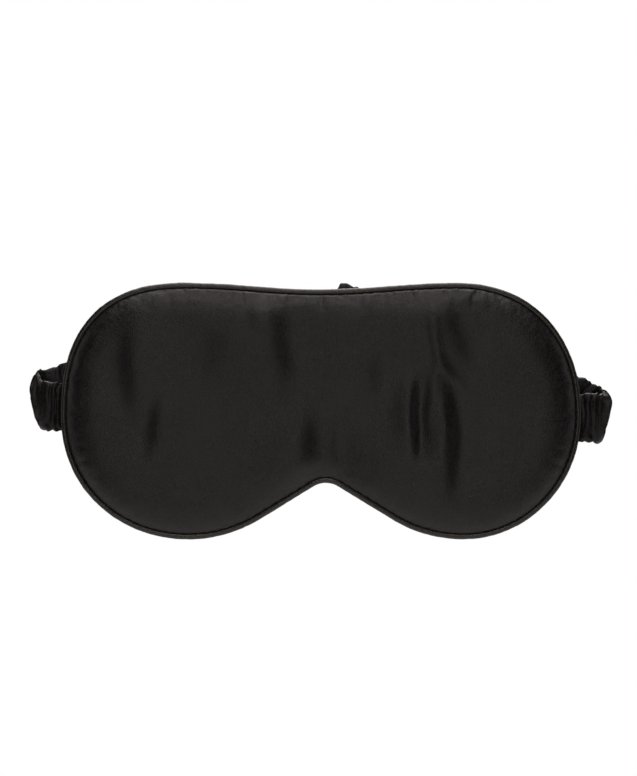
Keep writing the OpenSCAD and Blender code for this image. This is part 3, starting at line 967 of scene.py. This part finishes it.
def twisted(name, dark, light, pitch, depth, rough):
    """Twisted yarn, with plies that wind round it."""
    f = Finish(name, rough, Specular_IOR_Level=0.3)
    plies = f.ribs(pitch, "DIAGONAL", 0.0, 0.4)
    hair = f.noise(pitch * 0.4, 4.0)
    return f.done(f.colour(f.noise(pitch * 2), dark, light), f.math("ADD", plies, hair), depth)


def woven_elastic(name):
    """Narrow elastic with raised ribs along it and a fine weft across."""
    f = Finish(name, 0.7, Specular_IOR_Level=0.25)
    ribs = f.math("ADD", f.ribs(0.9 * MM, "Z"), f.math("MULTIPLY", f.ribs(0.35 * MM, "X"), 0.5))
    base = f.colour(f.noise(2 * MM), (0.05, 0.047, 0.044), (0.09, 0.085, 0.08))
    return f.done(base, ribs, 0.15 * MM)


def studio_floor():
    """Matt pale board with a faint tooth."""
    f = Finish("studio_floor", 0.85, Specular_IOR_Level=0.2)
    return f.done(f.colour(f.noise(60 * MM, 3.0), (0.78, 0.78, 0.78), (0.82, 0.82, 0.82)),
                  f.noise(2 * MM, 3.0), 0.05 * MM)


SATIN = satin("black_satin", (0.0005, 0.0004, 0.0005), (0.0150, 0.0143, 0.0139),
              (0.0190, 0.0120, 0.0142), rough=0.37, specular=0.58, gloss=(1.0, 0.90, 0.88))
PIPING = satin("piping_satin", (0.0045, 0.0039, 0.0036), (0.0240, 0.0208, 0.0184),
               (0.0300, 0.0215, 0.0165), rough=0.32, specular=0.80, gloss=(1.0, 0.92, 0.86),
               turn=math.radians(45), tooth=2.0, sheen=0.02)
STRAP = satin("strap_satin", (0.0020, 0.0018, 0.0019), (0.0110, 0.0100, 0.0102),
              (0.0180, 0.0110, 0.0105), rough=0.34, specular=0.34, gloss=(1.0, 0.96, 0.96),
              turn=math.radians(8), tooth=3.0, sheen=0.06)
LINER = plain_silk("lining_silk")
WADDING = fibre_wadding("fibre_wadding")
CORD = twisted("cotton_cord", (0.62, 0.58, 0.52), (0.80, 0.77, 0.71), 0.9 * MM, 0.12 * MM, 0.85)
THREAD = twisted("sewing_thread", (0.010, 0.009, 0.009), (0.020, 0.018, 0.018), 0.3 * MM,
                 0.03 * MM, 0.55)
ELASTIC = woven_elastic("elastic_web")


# ---------------------------------------------------------------- studio

def aim(obj, at):
    """Turns a light's face towards a point."""
    obj.rotation_euler = (Vector(at) - obj.location).to_track_quat("-Z", "Y").to_euler()


def add_camera():
    """Looks square at the mask's front, with the photograph's frame at the seam's plane."""
    distance, frame_height, sensor = 1.2, 0.3160, 36
    middle_x, middle_z = -1.0 * MM, 9.4 * MM
    data = bpy.data.cameras.new("camera")
    data.lens = sensor * distance / frame_height
    data.sensor_width = sensor
    camera = bpy.data.objects.new("camera", data)
    camera.location = (middle_x, SEAM_Y - distance, middle_z)
    camera.rotation_euler = (math.radians(90), 0, 0)
    bpy.context.scene.collection.objects.link(camera)
    bpy.context.scene.camera = camera


def add_softbox(name, place, width, height, power, at=(0, 0, 0)):
    """A rectangular light that the camera doesn't see, aimed at a point."""
    data = bpy.data.lights.new(name, "AREA")
    data.shape = "RECTANGLE"
    data.size = width
    data.size_y = height
    data.energy = power
    lamp = bpy.data.objects.new(name, data)
    lamp.location = place
    bpy.context.scene.collection.objects.link(lamp)
    aim(lamp, at)
    lamp.visible_camera = False


def add_studio():
    """A tall key at the camera, strips above and below it, side and back lights, and a ceiling panel
    for the pale floor, in a white surround that lights nothing."""
    floor_radius, floor_z = 1.2, -0.35
    add_softbox("key", (-0.02, -1.50, 0.75), 0.26, 2.40, 3.9)
    add_softbox("high_front", (0.0, -0.85, 1.10), 1.5, 0.4, 2.0)
    add_softbox("low_front", (0.0, -0.80, -0.20), 0.5, 0.24, 0.10)
    add_softbox("left_rim", (-1.3, 0.10, 0.25), 0.7, 0.9, 1.1)
    add_softbox("right_rim", (1.3, 0.10, 0.25), 0.7, 0.9, 1.1)
    add_softbox("back_key", (0.15, 1.45, 0.55), 0.8, 1.6, 12)
    add_softbox("ceiling", (0.0, 0.45, 1.90), 1.8, 1.8, 24, (0.0, 0.45, 0.0))

    bpy.ops.mesh.primitive_circle_add(vertices=128, radius=floor_radius, fill_type="NGON",
                                      location=(0, 0, floor_z))
    floor = bpy.context.object
    floor.name = "floor"
    floor.data.materials.append(studio_floor())

    world = bpy.data.worlds.new("surround")
    world.use_nodes = True
    world.node_tree.nodes["Background"].inputs["Color"].default_value = (1, 1, 1, 1)
    bpy.context.scene.world = world
    world.cycles_visibility.diffuse = False
    world.cycles_visibility.glossy = False
    bpy.context.scene.view_settings.view_transform = "Standard"


# ---------------------------------------------------------------- the whole

add_camera()
panel_flat, back_height = build_padding()
build_piping()
build_strap()
build_closing_stitches(panel_flat, back_height)
for tack_side in (-1, 1):
    build_tack(tack_side)
for node, finish in (("piping_cord", CORD), ("perimeter_stitching", THREAD)):
    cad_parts[node].data.materials.clear()
    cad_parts[node].data.materials.append(finish)
add_studio()
